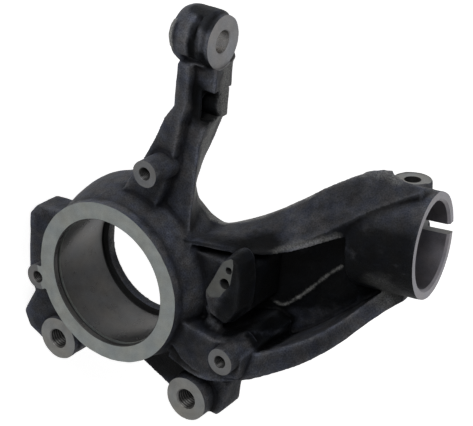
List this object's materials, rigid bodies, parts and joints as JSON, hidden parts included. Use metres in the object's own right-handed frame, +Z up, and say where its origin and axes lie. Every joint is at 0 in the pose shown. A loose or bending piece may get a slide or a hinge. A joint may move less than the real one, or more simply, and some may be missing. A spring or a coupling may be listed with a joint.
{
  "type": "steering knuckle",
  "caption": "Cast steering knuckle with a bearing bore, split strut clamp on a channel neck, tie rod arm, caliper lugs and shield posts.",
  "frame": {"origin": "centre of the wheel bearing bore on the hub's outboard face", "axes": "+Y inboard along the bearing bore, +Z up towards the strut clamp, +X towards the caliper lugs, -X towards the steering arm"},
  "size_m": [0.2571, 0.1385, 0.2524],
  "materials": {
    "casting": "satin black sand-cast skin with bare machined faces"
  },
  "bodies": {
    "root": {"steering_knuckle": "casting"}
  },
  "joints": []
}
